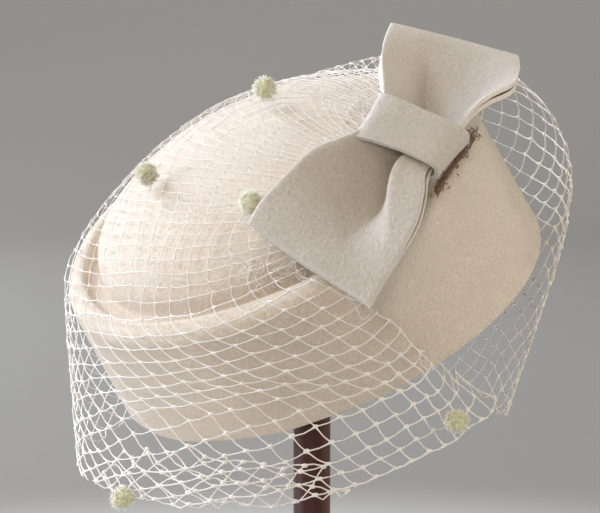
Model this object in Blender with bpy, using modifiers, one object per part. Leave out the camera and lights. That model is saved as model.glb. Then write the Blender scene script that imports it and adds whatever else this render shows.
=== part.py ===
"""Pillbox hat of blocked wool felt, with a felt bow and a net veil, on a turned wooden display stand.

The frame stands on the middle of the stand's foot, with +Z up and the side that is looked at facing -Y.
Lengths are metres. The hat's own ovals are given by their half lengths along and across the head opening.
"""

import math

import bmesh
import bpy
from mathutils import Matrix, Vector

# Driving dimensions
FELT = 0.0025
GAP = 0.0003

# The hat leans on its stand: its rim's middle, its lean, the side it leans to and its turn about itself
RIM_MIDDLE = Vector((-0.0173, -0.0171, 0.2114))
LEAN = math.radians(35.3)
LEAN_TOWARD = math.radians(224.4)
HAT_TURN = math.radians(129.2)

BASE_LONG = 0.0999
BASE_SHORT = 0.0786
WALL_HEIGHT = 0.0610
HEM_RADIUS = 0.0040
RIM_LONG = 0.0888
RIM_SHORT = 0.0836
RIM_RADIUS = 0.0068
RIM_INNER_RADIUS = 0.0044
GROOVE_WIDTH = 0.0054
GROOVE_DEPTH = 0.0090
DOME_RISE = 0.0375
HAT_SIDES = 48
HEM_STEPS = 4
ROUND_STEPS = 3
DOME_STEPS = 7

# The bow's knot and the way that each half points from it: azimuth, elevation and roll
KNOT_MIDDLE = Vector((0.0400, -0.0809, 0.2426))
KNOT_AIM = (49.7, 44.1, -33.1)
UPPER_AIM = (70.2, 34.1, -17.5)
LOWER_AIM = (23.2, 49.3, -53.7)
STRIP = 0.0018
BAND_LENGTH = 0.0215
BAND_WIDTH = 0.0405
BAND_DEPTH = 0.0175
BAND_SINK = 0.0008
BAND_SHIFT = 0.0023
BAND_ASIDE = 0.0006
BAND_SIDES = 28
BAND_SQUARENESS = 5.0

# Sections of the band round the waist: the place along its half length, and its girth there
BAND_SECTIONS = ((-1.0, 1.0), (-0.4, 0.975), (0.4, 0.975), (1.0, 1.0))

# The veil's netting, coarse here, with straight strands between its knots
STRAND = 0.0016
RIM_STRANDS = 0.0024
VEIL_GAP = 0.0034
VEIL_COLUMNS = 17
CROWN_SHARES = (0.0, 0.40, 0.64)
DROP_ROWS = 4
GATHER_TURN = math.radians(-31.5)
CROWN_LIFT = 0.0035
CROWN_FULLNESS = 1.8
BELLY_PLACE = 0.65
SAG_PLACE = 1.3

DOT_RADIUS = 0.0046
DOT_HOLLOW = 0.78

# The stand
FOOT_RADIUS = 0.0750
FOOT_HEIGHT = 0.0180
FOOT_ROUND = 0.0050
EDGE_BREAK = 0.0010
POST_RADII = (0.0081, 0.0090, 0.0112, 0.0144)
POST_HEIGHTS = (0.0600, 0.0200, 0.0)
REST_RADIUS = 0.0480
REST_HEIGHT = 0.0300
REST_EDGE = 0.0040
REST_TOP = 0.2535
STAND_SIDES = 40
POST_SIDES = 24
WELD = 0.00005

# Sections of the bow's loops from the knot outwards. reach is the way from the knot; left and right are the
# strip's half widths; front and back are the heights of the two layers; crease is how deep the pleat is,
# crease_at is where it runs, and soft is how far its left slope spreads.
LOOP_COLUMNS = ("reach", "left", "right", "front", "back", "crease", "crease_at", "soft")
LOWER_LOOP = (
    (3.0, 13.2, 14.0, 3.0, -1.8, 3.0, 0.0, 12.0),
    (15.0, 14.2, 17.0, 7.8, 1.4, 6.4, 1.0, 14.0),
    (20.0, 20.0, 21.6, 8.8, 1.4, 8.0, 0.6, 19.0),
    (31.0, 26.4, 25.6, 9.6, 3.2, 6.0, 0.0, 23.0),
    (45.0, 28.8, 26.8, 9.5, 3.6, 2.5, 1.0, 25.0),
    (58.0, 30.4, 27.9, 8.8, 3.6, 0.5, 1.0, 27.0),
    (66.0, 29.8, 28.7, 8.0, 3.8, 0.0, 1.0, 27.0),
)
UPPER_LOOP = (
    (3.0, 13.2, 14.0, 3.0, -1.8, 3.0, 2.0, 12.0),
    (10.6, 14.2, 17.0, 6.4, 0.0, 6.0, 4.0, 14.0),
    (20.0, 21.0, 22.0, 8.0, -1.6, 8.0, 3.0, 20.0),
    (32.0, 23.6, 26.6, 8.0, -3.0, 6.0, -2.0, 19.0),
    (45.0, 25.4, 28.2, 7.5, -1.5, 3.0, -9.0, 15.0),
    (55.0, 26.0, 28.4, 6.8, 0.5, 1.0, -11.0, 14.0),
    (60.0, 26.2, 28.0, 6.0, 1.8, 0.0, -11.0, 14.0),
)
LOOP_HALF_STEPS = 6
LOOP_CROWDING = 1.25
FOLD_STEPS = 4
CREASE_STEEP = 0.45
CREASE_SHARPNESS = 1.4
BACK_CREASE = 0.5

# How the veil leaves the rim and where its hem hangs, round the hat from its free edge under the bow.
# root is how far from the knot it starts, rim_turn its place on the rim, and rim_gap how far it stands off
# there; hem_turn, hem_reach and hem_height are the hem's place about the post, belly is how far it bulges
# outwards between the two, and sag is how far it droops.
VEIL_NAMES = ("root", "rim_turn", "rim_gap", "hem_turn", "hem_reach", "hem_height", "belly", "sag")
VEIL_TABLE = (
    (42.0, -74.0, 2.8, -26.0, 91.0, 141.0, 12.0, 19.0),
    (42.0, -80.0, 2.8, -42.0, 90.0, 126.0, 10.0, 12.0),
    (40.0, -90.0, 2.8, -62.0, 91.0, 112.0, 8.0, 6.0),
    (30.0, -110.0, 2.8, -98.0, 101.0, 100.5, 3.0, 0.0),
    (22.0, -140.0, 2.4, -134.0, 103.0, 98.0, 2.0, 0.0),
    (20.0, -180.0, 2.3, -183.0, 101.0, 102.0, 0.5, 0.0),
    (20.0, -222.0, 2.8, -230.0, 96.0, 117.0, 5.0, 0.0),
    (20.0, -270.0, 4.0, -275.0, 88.0, 133.0, 12.0, 0.0),
    (22.0, -308.0, 8.0, -322.0, 86.0, 136.0, 24.0, -3.0),
    (26.0, -334.0, 14.0, -356.0, 86.0, 137.0, 34.0, -7.0),
    (28.0, -350.0, 18.0, -380.0, 88.0, 140.0, 36.0, -8.0),
)

# Chenille dots: the veil's column and row that each one sits on
DOTS = (
    (10.75, 1.0),
    (8.6, 2.0),
    (6.35, 1.0),
    (6.85, 7.0),
    (1.6, 6.0),
)


def millimetres(value):
    return value * 0.001


def in_metres(names, row, angles):
    """A table's row as a dict, with its lengths in metres and the named angles in radians."""
    scale = {name: math.radians if name in angles else millimetres for name in names}
    return {name: scale[name](value) for name, value in zip(names, row)}


def smooth_row(rows, place):
    """The row at a place along the table, from a curve through its rows."""
    last = len(rows) - 1
    index = min(int(place), last - 1)
    t = place - index
    before, first, second, after = (rows[min(max(index + k, 0), last)] for k in (-1, 0, 1, 2))
    result = {}
    for name in first:
        slope_in = (second[name] - before[name]) / 2
        slope_out = (after[name] - first[name]) / 2
        rise = second[name] - first[name]
        bend = 3 * rise - 2 * slope_in - slope_out
        end = slope_in + slope_out - 2 * rise
        result[name] = first[name] + t * (slope_in + t * (bend + t * end))
    return result


def hat_pose():
    lean = Matrix.Rotation(LEAN_TOWARD, 4, "Z") @ Matrix.Rotation(LEAN, 4, "Y")
    return Matrix.Translation(RIM_MIDDLE) @ lean @ Matrix.Rotation(HAT_TURN, 4, "Z")


def aimed(middle, aim):
    """A frame whose Y points along the aim, whose X is across it and whose Z faces out from the hat."""
    azimuth, elevation, roll = (math.radians(angle) for angle in aim)
    level_reach = math.cos(elevation)
    along = Vector((level_reach * math.cos(azimuth), level_reach * math.sin(azimuth), math.sin(elevation)))
    level = Vector((math.sin(azimuth), -math.cos(azimuth), 0))
    across = level * math.cos(roll) + level.cross(along) * math.sin(roll)
    out = across.cross(along)
    frame = Matrix((across, along, out)).transposed().to_4x4()
    return Matrix.Translation(middle) @ frame


def material(name, colour, roughness):
    made = bpy.data.materials.new(name)
    made.use_nodes = True
    shader = made.node_tree.nodes["Principled BSDF"]
    shader.inputs["Base Color"].default_value = (*colour, 1)
    shader.inputs["Roughness"].default_value = roughness
    shader.inputs["Metallic"].default_value = 0
    return made


def add_object(name, mesh, pose, finish, collection):
    mesh.materials.append(finish)
    mesh.shade_smooth()
    made = bpy.data.objects.new(name, mesh)
    made.matrix_world = pose
    collection.objects.link(made)
    return made


def mesh_from(name, bm):
    bmesh.ops.recalc_face_normals(bm, faces=bm.faces)
    mesh = bpy.data.meshes.new(name)
    bm.to_mesh(mesh)
    bm.free()
    return mesh


def solidify(made, thickness, offset):
    shell = made.modifiers.new("wall", "SOLIDIFY")
    shell.thickness = thickness
    shell.offset = offset
    shell.use_even_offset = True


def bridge(bm, first, second, closed):
    """Faces between two rows of points."""
    count = len(first)
    for j in range(count if closed else count - 1):
        k = (j + 1) % count
        bm.faces.new((first[j], first[k], second[k], second[j]))


def arc(long, short, height, radius, start, stop, steps):
    """Rows round a bend in the hat's section, about a centre line that follows the oval."""
    rows = []
    for step in range(steps + 1):
        angle = math.radians(start + (stop - start) * step / steps)
        reach = radius * math.cos(angle)
        rows.append((long + reach, short + reach, height + radius * math.sin(angle)))
    return rows


def hat_rows():
    """The outside of the hat's section, from the lip of the turned-in edge to the top of the dome."""
    hem = -WALL_HEIGHT + HEM_RADIUS
    groove = GROOVE_WIDTH / 2
    inside = RIM_INNER_RADIUS + groove
    floor = -GROOVE_DEPTH + groove
    crest = RIM_RADIUS - RIM_INNER_RADIUS
    rows = arc(BASE_LONG - HEM_RADIUS, BASE_SHORT - HEM_RADIUS, hem, HEM_RADIUS, 180, 360, HEM_STEPS)
    foot = rows[-1]
    rim = arc(RIM_LONG, RIM_SHORT, 0, RIM_RADIUS, 0, 90, ROUND_STEPS)
    rim += arc(RIM_LONG, RIM_SHORT, crest, RIM_INNER_RADIUS, 90, 180, ROUND_STEPS)[1:]
    rows.append(tuple((low + high) / 2 for low, high in zip(foot, rim[0])))
    rows += rim
    rows += arc(RIM_LONG - inside, RIM_SHORT - inside, floor, groove, 0, -180, ROUND_STEPS)
    dome_long, dome_short, dome_foot = rows[-1]
    for step in range(1, DOME_STEPS):
        angle = math.radians(90 * step / DOME_STEPS)
        spread = math.cos(angle)
        rise = (DOME_RISE - dome_foot) * math.sin(angle)
        rows.append((dome_long * spread, dome_short * spread, dome_foot + rise))
    return rows


def hat_body(finish, collection):
    bm = bmesh.new()
    rings = []
    for long, short, height in hat_rows():
        ring = []
        for side in range(HAT_SIDES):
            turn = 2 * math.pi * side / HAT_SIDES
            ring.append(bm.verts.new((long * math.cos(turn), short * math.sin(turn), height)))
        rings.append(ring)
    for lower, upper in zip(rings, rings[1:]):
        bridge(bm, lower, upper, True)
    top = bm.verts.new((0, 0, DOME_RISE))
    for first, second in zip(rings[-1], rings[-1][1:] + rings[-1][:1]):
        bm.faces.new((first, second, top))
    mesh = bpy.data.meshes.new("hat_body")
    bm.to_mesh(mesh)
    bm.free()
    made = add_object("hat_body", mesh, hat_pose(), finish, collection)
    solidify(made, FELT, -1)
    return made


def crease_depth(row, across):
    """How far the pleat pulls the strip in, gently from the left and steeply from the right."""
    side = across - row["crease_at"]
    spread = row["soft"] if side < 0 else row["soft"] * CREASE_STEEP
    return row["crease"] * max(0.0, 1 - abs(side) / spread) ** CREASE_SHARPNESS


def loop_section(row, layer):
    """One line of points across the strip, on its front or back layer."""
    depth = 1 if layer == "front" else BACK_CREASE
    points = []
    for step in range(-LOOP_HALF_STEPS, LOOP_HALF_STEPS + 1):
        share = abs(step / LOOP_HALF_STEPS) ** LOOP_CROWDING
        edge = -row["left"] if step < 0 else row["right"]
        across = row["crease_at"] + share * (edge - row["crease_at"])
        points.append((across, row["reach"], row[layer] - depth * crease_depth(row, across)))
    return points


def loop_end(row):
    """The rounded fold at the loop's outer end, from its front layer to its back one."""
    middle = (row["front"] + row["back"]) / 2
    radius = (row["front"] - row["back"]) / 2
    lines = []
    for step in range(1, FOLD_STEPS):
        angle = math.pi * step / FOLD_STEPS
        fold = dict(row)
        fold["reach"] += radius * math.sin(angle)
        fold["front"] = middle + radius * math.cos(angle)
        lines.append(loop_section(fold, "front"))
    return lines


def bow_loop(name, table, aim, side, finish, collection):
    rows = [in_metres(LOOP_COLUMNS, row, ()) for row in table]
    lines = [loop_section(row, "front") for row in rows]
    lines += loop_end(rows[-1])
    lines += [loop_section(row, "back") for row in reversed(rows)]
    bm = bmesh.new()
    placed = [[bm.verts.new((x, side * y, z)) for x, y, z in line] for line in lines]
    for first, second in zip(placed, placed[1:]):
        bridge(bm, first, second, False)
    made = add_object(name, mesh_from(name, bm), aimed(KNOT_MIDDLE, aim), finish, collection)
    solidify(made, STRIP, 0)
    return made


def bow_knot(finish, collection):
    """The band round the bow's waist: a flattened tube, slightly drawn in at its middle."""
    bm = bmesh.new()
    rings = []
    for share, girth in BAND_SECTIONS:
        ring = []
        for side in range(BAND_SIDES):
            turn = 2 * math.pi * (side + 0.5) / BAND_SIDES
            fullness = abs(math.cos(turn)) ** BAND_SQUARENESS + abs(math.sin(turn)) ** BAND_SQUARENESS
            reach = fullness ** (-1 / BAND_SQUARENESS)
            across = reach * math.cos(turn) * BAND_WIDTH / 2 * girth - BAND_ASIDE
            out = reach * math.sin(turn) * BAND_DEPTH / 2 * girth - BAND_SINK
            ring.append(bm.verts.new((across, share * BAND_LENGTH / 2 - BAND_SHIFT, out)))
        rings.append(ring)
    for first, second in zip(rings, rings[1:]):
        bridge(bm, first, second, True)
    made = add_object("bow_knot", mesh_from("bow_knot", bm), aimed(KNOT_MIDDLE, KNOT_AIM), finish, collection)
    solidify(made, STRIP, -1)
    return made


def cap_height(long, short):
    """The height of netting stretched over the dome and the rim."""
    reach = min(1.0, math.hypot(long / RIM_LONG, short / RIM_SHORT))
    return RIM_RADIUS + (DOME_RISE + CROWN_LIFT - RIM_RADIUS) * (1 - reach ** CROWN_FULLNESS)


def veil_column(row, pose):
    """One line of the veil's knots, from the gather under the bow over the rim to the hem."""
    rim = Vector((RIM_LONG * math.cos(row["rim_turn"]), RIM_SHORT * math.sin(row["rim_turn"])))
    gather = Vector((RIM_LONG * math.cos(GATHER_TURN), RIM_SHORT * math.sin(GATHER_TURN)))
    start = gather + (rim - gather).normalized() * row["root"]
    points = []
    for share in CROWN_SHARES:
        place = start.lerp(rim, share)
        points.append(pose @ Vector((*place, cap_height(*place) + VEIL_GAP)))
    stand_off = (RIM_RADIUS + row["rim_gap"]) * math.sqrt(0.5)
    ease = 1 + stand_off / rim.length
    over_rim = pose @ Vector((*(rim * ease), stand_off))
    outwards = Vector((math.cos(row["hem_turn"]), math.sin(row["hem_turn"]), 0))
    hem = outwards * row["hem_reach"] + Vector((0, 0, row["hem_height"]))
    for step in range(DROP_ROWS + 1):
        t = step / DROP_ROWS
        bulge = outwards * row["belly"] * math.sin(math.pi * t ** BELLY_PLACE)
        droop = Vector((0, 0, row["sag"])) * math.sin(math.pi * t ** SAG_PLACE)
        points.append(over_rim.lerp(hem, t) + bulge - droop)
    return points


def veil_points():
    rows = [in_metres(VEIL_NAMES, row, ("rim_turn", "hem_turn")) for row in VEIL_TABLE]
    pose = hat_pose()
    columns = []
    for column in range(VEIL_COLUMNS + 1):
        place = (len(rows) - 1) * column / VEIL_COLUMNS
        columns.append(veil_column(smooth_row(rows, place), pose))
    return columns


def veil_crown_points(columns):
    """The part of each column that lies over the crown, with its last knot beside the rim's strand."""
    over_crown = []
    for column in columns:
        *inner, last = column[:len(CROWN_SHARES) + 1]
        inwards = (inner[-1] - last).normalized()
        over_crown.append([*inner, last + inwards * RIM_STRANDS])
    return over_crown


def veil_net(name, columns, finish, collection):
    """Netting with a strand along each side of its cells, and a doubled one along the rim."""
    bm = bmesh.new()
    placed = [[bm.verts.new(point) for point in column] for column in columns]
    for first, second in zip(placed, placed[1:]):
        bridge(bm, first, second, False)
    made = add_object(name, mesh_from(name, bm), Matrix(), finish, collection)
    net = made.modifiers.new("net", "WIREFRAME")
    net.thickness = STRAND
    net.use_boundary = True
    net.use_replace = True
    net.use_even_offset = False
    return made


def dot_middle(place, columns):
    """Where a dot sits: just outside the netting, on one of its strands."""
    column, row = place
    i = min(int(column), VEIL_COLUMNS - 1)
    j = min(int(row), len(CROWN_SHARES) + DROP_ROWS - 1)
    corner, side, down = columns[i][j], columns[i + 1][j], columns[i][j + 1]
    across = columns[i][j].lerp(columns[i + 1][j], column - i)
    below = columns[i][j + 1].lerp(columns[i + 1][j + 1], column - i)
    out = (down - corner).cross(side - corner).normalized()
    if out.dot(corner - RIM_MIDDLE) < 0:
        out.negate()
    return across.lerp(below, row - j) + out * (STRAND / 2 + GAP + DOT_RADIUS)


def veil_dot(number, place, columns, finish, collection):
    """A tuft of chenille: twelve blunt locks round a small core."""
    bm = bmesh.new()
    bmesh.ops.create_icosphere(bm, subdivisions=2, radius=DOT_RADIUS)
    for point in bm.verts:
        lock = len(point.link_edges) == 5
        point.co *= 1.0 if lock else DOT_HOLLOW
    name = f"veil_dot_{number}"
    pose = Matrix.Translation(dot_middle(place, columns))
    return add_object(name, mesh_from(name, bm), pose, finish, collection)


def turned(name, profile, sides, finish, collection):
    """A solid turned about the post's axis, from a profile of reach and height, top to bottom."""
    bm = bmesh.new()
    points = [bm.verts.new((reach, 0, height)) for reach, height in profile]
    for first, second in zip(points, points[1:]):
        bm.edges.new((first, second))
    mesh = bpy.data.meshes.new(name)
    bm.to_mesh(mesh)
    bm.free()
    made = add_object(name, mesh, Matrix(), finish, collection)
    screw = made.modifiers.new("turn", "SCREW")
    screw.steps = sides
    screw.render_steps = sides
    screw.use_merge_vertices = True
    screw.merge_threshold = WELD
    return made


def corner(reach, height, radius, start, stop, steps):
    """Points of a profile round a corner, about its centre."""
    angles = [math.radians(start + (stop - start) * step / steps) for step in range(steps + 1)]
    return [(reach + radius * math.cos(angle), height + radius * math.sin(angle)) for angle in angles]


def stand_base(finish, collection):
    """A round foot with a rounded upper edge and a slightly broken lower one."""
    profile = [(0, FOOT_HEIGHT)]
    profile += corner(FOOT_RADIUS - FOOT_ROUND, FOOT_HEIGHT - FOOT_ROUND, FOOT_ROUND, 90, 0, ROUND_STEPS)
    profile += corner(FOOT_RADIUS - EDGE_BREAK, EDGE_BREAK, EDGE_BREAK, 0, -90, 1)
    profile.append((0, 0))
    turned("stand_base", profile, STAND_SIDES, finish, collection)


def stand_top(finish, collection):
    """The low wooden dome that holds the crown up."""
    foot = REST_TOP - REST_HEIGHT
    edge = foot + REST_EDGE
    profile = [(0, REST_TOP)]
    for step in range(1, DOME_STEPS + 1):
        angle = math.radians(90 - 90 * step / DOME_STEPS)
        profile.append((REST_RADIUS * math.cos(angle), edge + (REST_TOP - edge) * math.sin(angle)))
    profile += corner(REST_RADIUS - EDGE_BREAK, foot + EDGE_BREAK, EDGE_BREAK, 0, -90, 1)
    profile.append((0, foot))
    turned("stand_top", profile, STAND_SIDES, finish, collection)


def stand_post(finish, collection):
    """The post, flaring towards the foot."""
    profile = [(0, REST_TOP - REST_HEIGHT - GAP), (POST_RADII[0], REST_TOP - REST_HEIGHT - GAP)]
    for radius, height in zip(POST_RADII[1:], POST_HEIGHTS):
        profile.append((radius, FOOT_HEIGHT + GAP + height))
    profile.append((0, FOOT_HEIGHT + GAP))
    turned("stand_post", profile, POST_SIDES, finish, collection)


def main():
    for old in list(bpy.data.objects):
        bpy.data.objects.remove(old)
    collection = bpy.data.collections.new("pillbox_hat")
    bpy.context.scene.collection.children.link(collection)

    felt = material("cream_wool_felt", (0.75, 0.68, 0.57), 0.95)
    bow_felt = material("bow_wool_felt", (0.70, 0.66, 0.58), 0.95)
    netting = material("ivory_netting", (0.86, 0.84, 0.78), 0.60)
    chenille = material("pale_green_chenille", (0.74, 0.76, 0.55), 0.95)
    wood = material("dark_red_wood", (0.10, 0.025, 0.012), 0.35)

    hat_body(felt, collection)
    bow_loop("bow_lower_loop", LOWER_LOOP, LOWER_AIM, -1, bow_felt, collection)
    bow_loop("bow_upper_loop", UPPER_LOOP, UPPER_AIM, 1, bow_felt, collection)
    bow_knot(bow_felt, collection)
    columns = veil_points()
    veil_net("veil_crown", veil_crown_points(columns), netting, collection)
    veil_net("veil_fall", [column[len(CROWN_SHARES):] for column in columns], netting, collection)
    for number, place in enumerate(DOTS, 1):
        veil_dot(number, place, columns, chenille, collection)
    stand_base(wood, collection)
    stand_post(wood, collection)
    stand_top(wood, collection)


main()
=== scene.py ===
import math
import random

import bmesh
import bpy
from bpy.props import FloatProperty, IntProperty, PointerProperty, StringProperty
from mathutils import Matrix, Vector, noise
from mathutils.bvhtree import BVHTree
from mathutils.geometry import barycentric_transform


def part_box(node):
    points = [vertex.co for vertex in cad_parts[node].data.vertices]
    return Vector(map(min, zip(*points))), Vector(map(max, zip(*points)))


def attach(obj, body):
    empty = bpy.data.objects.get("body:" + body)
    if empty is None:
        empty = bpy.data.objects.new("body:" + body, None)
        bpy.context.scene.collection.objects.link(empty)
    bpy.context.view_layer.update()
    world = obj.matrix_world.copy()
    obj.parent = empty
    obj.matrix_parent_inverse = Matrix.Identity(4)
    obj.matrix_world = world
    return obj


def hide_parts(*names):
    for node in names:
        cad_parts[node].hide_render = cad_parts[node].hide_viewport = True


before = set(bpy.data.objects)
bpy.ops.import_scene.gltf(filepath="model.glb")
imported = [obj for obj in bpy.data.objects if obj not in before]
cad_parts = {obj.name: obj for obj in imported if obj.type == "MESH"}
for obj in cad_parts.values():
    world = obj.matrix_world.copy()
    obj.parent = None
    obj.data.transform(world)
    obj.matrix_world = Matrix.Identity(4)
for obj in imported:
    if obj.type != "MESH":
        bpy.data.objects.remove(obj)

bl_info = {
    "name": "Pillbox Hat",
    "version": (1, 0, 0),
    "blender": (4, 5, 0),
    "location": "3D View > Sidebar > Pillbox Hat",
    "description": "Felt pillbox hat with a bow and a net veil, on a turned wooden stand",
    "category": "Object",
}

# How the hat leans on its stand
RIM_MIDDLE = Vector((-0.0173, -0.0171, 0.2114))
LEAN = math.radians(35.3)
LEAN_TOWARD = math.radians(224.4)
HAT_TURN = math.radians(129.2)

# The bow's knot, and the way each piece points from it: azimuth, elevation and roll
KNOT_MIDDLE = Vector((0.0400, -0.0809, 0.2426))
KNOT_AIM = (49.7, 44.1, -33.1)
UPPER_AIM = (70.2, 34.1, -17.5)
LOWER_AIM = (23.2, 49.3, -53.7)

# Sections of the bow's loops in millimetres, from the knot outwards. reach is the way from the knot; left
# and right are the strip's half widths; front and back are the heights of the two layers; crease is how deep
# the pleat is and crease_at where it runs; slope_left and slope_right are how far its two sides spread; lap
# is how far its right side laps over it; lift_left and lift_right are how far the two edges stand up.
LOOP_COLUMNS = (
    "reach", "left", "right", "front", "back", "crease", "crease_at", "slope_left", "slope_right", "lap",
    "lift_left", "lift_right",
)
LOWER_LOOP = (
    (3.0, 16.5, 14.0, 3.0, -1.8, 8.0, 2.6, 18.0, 3.0, 0.0, 0.0, 0.0),
    (12.0, 17.0, 15.8, 7.0, 0.8, 17.0, 4.2, 20.4, 2.4, 4.6, 1.5, 0.5),
    (20.0, 20.5, 20.5, 8.6, 1.0, 18.5, 5.6, 25.0, 2.8, 4.8, 2.5, 1.0),
    (31.0, 26.4, 25.0, 9.4, 2.8, 13.5, 6.6, 31.0, 6.0, 2.6, 3.0, 2.0),
    (45.0, 28.8, 26.8, 9.3, 3.4, 4.8, 6.0, 34.0, 13.0, 0.0, 2.0, 1.5),
    (58.0, 30.4, 27.9, 8.8, 3.6, 0.3, 6.0, 32.0, 14.0, 0.0, 0.8, 0.5),
    (66.0, 29.8, 28.7, 8.0, 3.8, 0.0, 6.0, 32.0, 14.0, 0.0, 0.0, 0.0),
)
UPPER_LOOP = (
    (3.0, 16.5, 15.5, 3.0, -1.8, 8.0, 5.0, 20.0, 10.0, 0.0, 0.0, 0.0),
    (12.0, 17.0, 18.8, 6.6, 0.0, 15.5, 6.0, 22.0, 12.0, 0.0, 1.5, 3.5),
    (20.0, 20.0, 23.8, 8.0, -1.0, 18.5, 4.2, 23.5, 19.0, 0.0, 2.0, 6.0),
    (32.0, 23.6, 30.6, 8.0, -2.0, 15.5, -2.0, 21.0, 33.0, 0.0, 2.0, 5.5),
    (45.0, 25.4, 31.0, 7.4, -1.0, 7.0, -6.5, 17.0, 39.0, 0.0, 1.5, 3.0),
    (55.0, 26.0, 29.2, 6.6, 0.5, 1.5, -10.0, 14.0, 40.0, 0.0, 0.5, 1.0),
    (60.0, 26.2, 28.0, 6.0, 1.8, 0.0, -13.0, 14.0, 40.0, 0.0, 0.0, 0.0),
)

# How much steeper the left and the right side of each loop's pleat are at its bottom than at its top
LOWER_STEEPNESS = (1.75, 1.25)
UPPER_STEEPNESS = (1.25, 1.15)

# How round a pleat's bottom is, how far beyond the pleat its lap fades out, the share of its depth that the
# back layer takes on, the least way between the middles of the two layers, and how far the edges curl back
CREASE_ROUND = 0.0008
LAP_REACH = 0.010
BACK_CREASE = 0.35
LAYER_GAP = 0.0023
EDGE_CURL = 0.0004

# How far the felt's surface wanders in the body and in the bow, how round the bow's cut edges are, and half
# the thickness of a fibre of the nap, which is drawn thicker than real wool so that it shows
BODY_WANDER = 0.0005
BOW_WANDER = 0.0003
CUT_EDGE_ROUND = 0.0004
NAP_RADIUS = 0.00005

# How the veil leaves the rim and where its hem hangs, round the hat from its free edge under the bow: lengths
# in millimetres and turns in degrees. root is how far from the gather it starts, rim_turn its place on the
# rim, and rim_gap how far it stands off there; hem_turn, hem_reach and hem_height are the hem's place about
# the post, belly is how far it bulges outwards between the two, and sag is how far it droops.
VEIL_COLUMNS = ("root", "rim_turn", "rim_gap", "hem_turn", "hem_reach", "hem_height", "belly", "sag")
VEIL_TABLE = (
    (42.0, -68.0, 2.8, -2.0, 88.0, 136.0, 3.0, 15.0),
    (42.0, -80.0, 2.8, -42.0, 90.0, 126.0, 10.0, 12.0),
    (40.0, -90.0, 2.8, -62.0, 91.0, 112.0, 8.0, 6.0),
    (30.0, -110.0, 2.8, -98.0, 101.0, 100.5, 3.0, 0.0),
    (22.0, -140.0, 2.4, -134.0, 103.0, 98.0, 2.0, 0.0),
    (20.0, -180.0, 2.3, -183.0, 101.0, 102.0, 0.5, 0.0),
    (20.0, -222.0, 2.8, -230.0, 96.0, 117.0, 5.0, 0.0),
    (20.0, -270.0, 4.0, -275.0, 88.0, 133.0, 12.0, 0.0),
    (22.0, -308.0, 8.0, -322.0, 86.0, 129.0, 24.0, -3.0),
    (26.0, -334.0, 14.0, -354.0, 84.0, 121.0, 34.0, -7.0),
    (28.0, -350.0, 18.0, -378.0, 86.0, 124.0, 34.0, -8.0),
)

# Where on the rim the veil is gathered, how far it lifts off the dome, and how full its curve over it is
GATHER_TURN = math.radians(-31.5)
CROWN_LIFT = 0.0035
CROWN_FULLNESS = 1.8

# Where between rim and hem the veil bulges and droops most: under 1 is above the middle, over 1 is below it
BELLY_PLACE = 0.65
SAG_PLACE = 1.3

# The netting's two sets of threads as they lie on the flat net, in degrees, and a place that a knot is on
THREADS_DOWN = -43.0
THREADS_UP = 19.0
NET_ORIGIN = Vector((-0.1524, 0.130))

# Where the hanging net is pushed together, so its diamonds are flatter: on the near wall below the rim, and
# along the hem. Lengths are how much net is taken up there; turns are in degrees, about the post; the shares
# of the way from rim to hem say where the first ends and the second starts.
RIM_SLACK = 0.023
RIM_SLACK_TURN = -112.0
RIM_SLACK_SPREAD = 42.0
RIM_SLACK_SHARE = 0.45
HEM_SLACK = 0.009
HEM_SLACK_SHARE = 0.78

# How many slack threads hang between knots under the bow at most: some draws find no second knot
SLACK_THREADS = 22

# Where loose ends of the netting's thread stand out: a place in millimetres, how many, and their length; and
# how often they wind round at most
STRAY_ENDS = (
    (-26.6, -83.8, 193.2, 3, 8.0),
    (-21.8, -85.9, 189.4, 3, 9.0),
    (-17.8, -86.3, 192.6, 3, 8.0),
    (-14.3, -87.2, 188.0, 3, 9.0),
    (-9.9, -87.4, 191.9, 3, 8.0),
    (-5.2, -87.5, 188.0, 3, 8.0),
    (-20.2, -86.4, 183.1, 2, 8.0),
    (-0.6, -99.1, 186.3, 2, 7.0),
    (15.8, -23.3, 258.5, 6, 7.0),
    (18.0, -38.1, 252.4, 6, 7.0),
    (15.2, -48.0, 246.5, 6, 6.0),
    (20.2, -45.1, 248.5, 6, 7.0),
    (24.0, -28.6, 256.4, 6, 7.0),
    (11.3, -37.4, 252.4, 5, 6.0),
)
STRAY_CURL = 1.3

# The brown seam at the band's end, painted shade: its dark threads stand in for the shaded crevice between
# the band and the hat. Places along it in millimetres, with the length of the loose ends there and how
# often they wind round at most; and how many ends stand out at each place
SEAM = (
    (65.5, -48.9, 242.8, 3.6, 0.3),
    (63.5, -54.1, 240.2, 3.0, 0.3),
    (61.1, -59.2, 237.1, 2.4, 0.2),
    (58.8, -63.2, 234.4, 2.2, 0.2),
    (56.5, -66.7, 231.8, 2.2, 0.2),
    (54.3, -70.0, 229.1, 2.2, 0.2),
    (52.1, -73.0, 226.5, 2.4, 0.2),
    (50.4, -75.9, 223.8, 3.0, 0.3),
    (49.0, -79.0, 220.8, 3.6, 0.3),
)
SEAM_ENDS = 14

# How many chenille dots are sewn on
DOT_COUNT = 5

# The lamps: turn and height in degrees about the hat, distance and width in metres, power in watts and colour
LAMP_COLUMNS = ("name", "turn", "height", "distance", "width", "power", "colour")
LAMPS = (
    ("window_low", 185.0, 2.0, 3.0, 1.25, 62.0, "#E4EEFF"),
    ("window_back", 140.0, 30.0, 3.0, 1.25, 67.0, "#E4EEFF"),
    ("window_high", 180.0, 45.0, 3.0, 1.25, 44.0, "#E4EEFF"),
    ("front", 262.0, 15.0, 3.0, 0.94, 18.4, "#FFEFD6"),
    ("front_high", 255.0, 50.0, 3.0, 1.15, 13.0, "#FFEFD6"),
    ("right", 0.0, 15.0, 3.0, 1.5, 37.0, "#FFFBF1"),
)
LAMP_TARGET = Vector((-0.01, -0.02, 0.20))

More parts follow.
